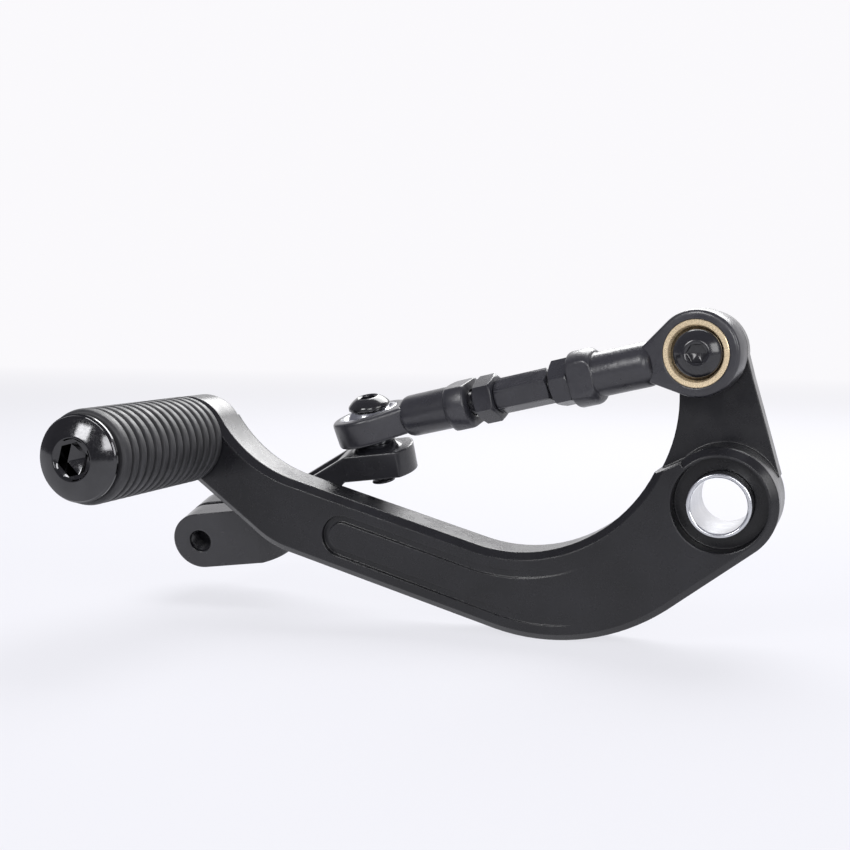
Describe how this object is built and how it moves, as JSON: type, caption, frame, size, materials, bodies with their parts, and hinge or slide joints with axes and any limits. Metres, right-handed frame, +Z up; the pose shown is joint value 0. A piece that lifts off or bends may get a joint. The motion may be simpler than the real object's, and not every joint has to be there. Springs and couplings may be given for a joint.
{
  "type": "motorcycle gear shift lever",
  "caption": "Cranked foot lever with a ribbed toe peg and a pivot hub, joined by an adjustable ball-jointed link to a pinch-clamp crank for the gear shaft.",
  "frame": {"origin": "pivot axis in the plane of the lever arm's front face, just inside the bush's outer end", "axes": "+Y along the pivot axis into the machine, +X from the toe peg towards the pivot, +Z up"},
  "size_m": [0.1562, 0.0883, 0.0751],
  "materials": {
    "lever_satin_black": "satin black coat on cast aluminium",
    "bush_steel": "turned steel",
    "hidden_steel": "plain steel tube",
    "peg_rubber": "ribbed black rubber",
    "washer_black": "black steel washer",
    "dome_black_nickel": "polished black plating",
    "screw_black": "black oxide steel",
    "ball_dark_steel": "dark polished ball",
    "joint_satin_black": "satin black steel",
    "race_brass": "pale brass race",
    "race_steel": "bright race",
    "ball_bright_steel": "polished ball",
    "crank_gloss_black": "gloss black coat on steel"
  },
  "bodies": {
    "lever": {"lever_arm": "lever_satin_black", "pivot_bush": "bush_steel", "toe_peg_tube": "hidden_steel", "toe_peg_rubber": "peg_rubber", "toe_peg_washer": "washer_black", "toe_peg_bolt": "dome_black_nickel", "upper_joint_screw": "screw_black", "upper_joint_spacer": "screw_black", "upper_joint_nut": "screw_black"},
    "upper_joint_ball": {"upper_ball": "ball_dark_steel"},
    "link": {"upper_rod_end": "joint_satin_black", "upper_race": "race_brass", "upper_jam_nut": "screw_black", "link_rod": "joint_satin_black", "lower_jam_nut": "screw_black", "lower_rod_end": "joint_satin_black", "lower_race": "race_steel"},
    "lower_joint_ball": {"lower_ball": "ball_bright_steel"},
    "crank": {"lower_joint_screw": "screw_black", "lower_joint_spacer": "screw_black", "crank_arm": "crank_gloss_black", "crank_pinch_screw": "screw_black"}
  },
  "joints": [
    {"name": "upper_swivel", "type": "hinge", "parent": "lever", "child": "upper_joint_ball", "pos_m": [-0.0052, 0.006, 0.0326], "axis": [0, 1, 0], "range_deg": [-18, 18]},
    {"name": "upper_tilt", "type": "hinge", "parent": "upper_joint_ball", "child": "link", "pos_m": [-0.0052, 0.006, 0.0326], "axis": [0.2267, 0, -0.974], "range_deg": [-0.5, 2]},
    {"name": "lower_tilt", "type": "hinge", "parent": "link", "child": "lower_joint_ball", "pos_m": [-0.08843, 0.0223, 0.01323], "axis": [0.1342, 0.963, 0.2336], "range_deg": [-6, 6]},
    {"name": "lower_swivel", "type": "hinge", "parent": "lower_joint_ball", "child": "crank", "pos_m": [-0.08843, 0.0223, 0.01323], "axis": [-0.1099, -0.2198, 0.9693], "range_deg": [-25, 2]}
  ]
}
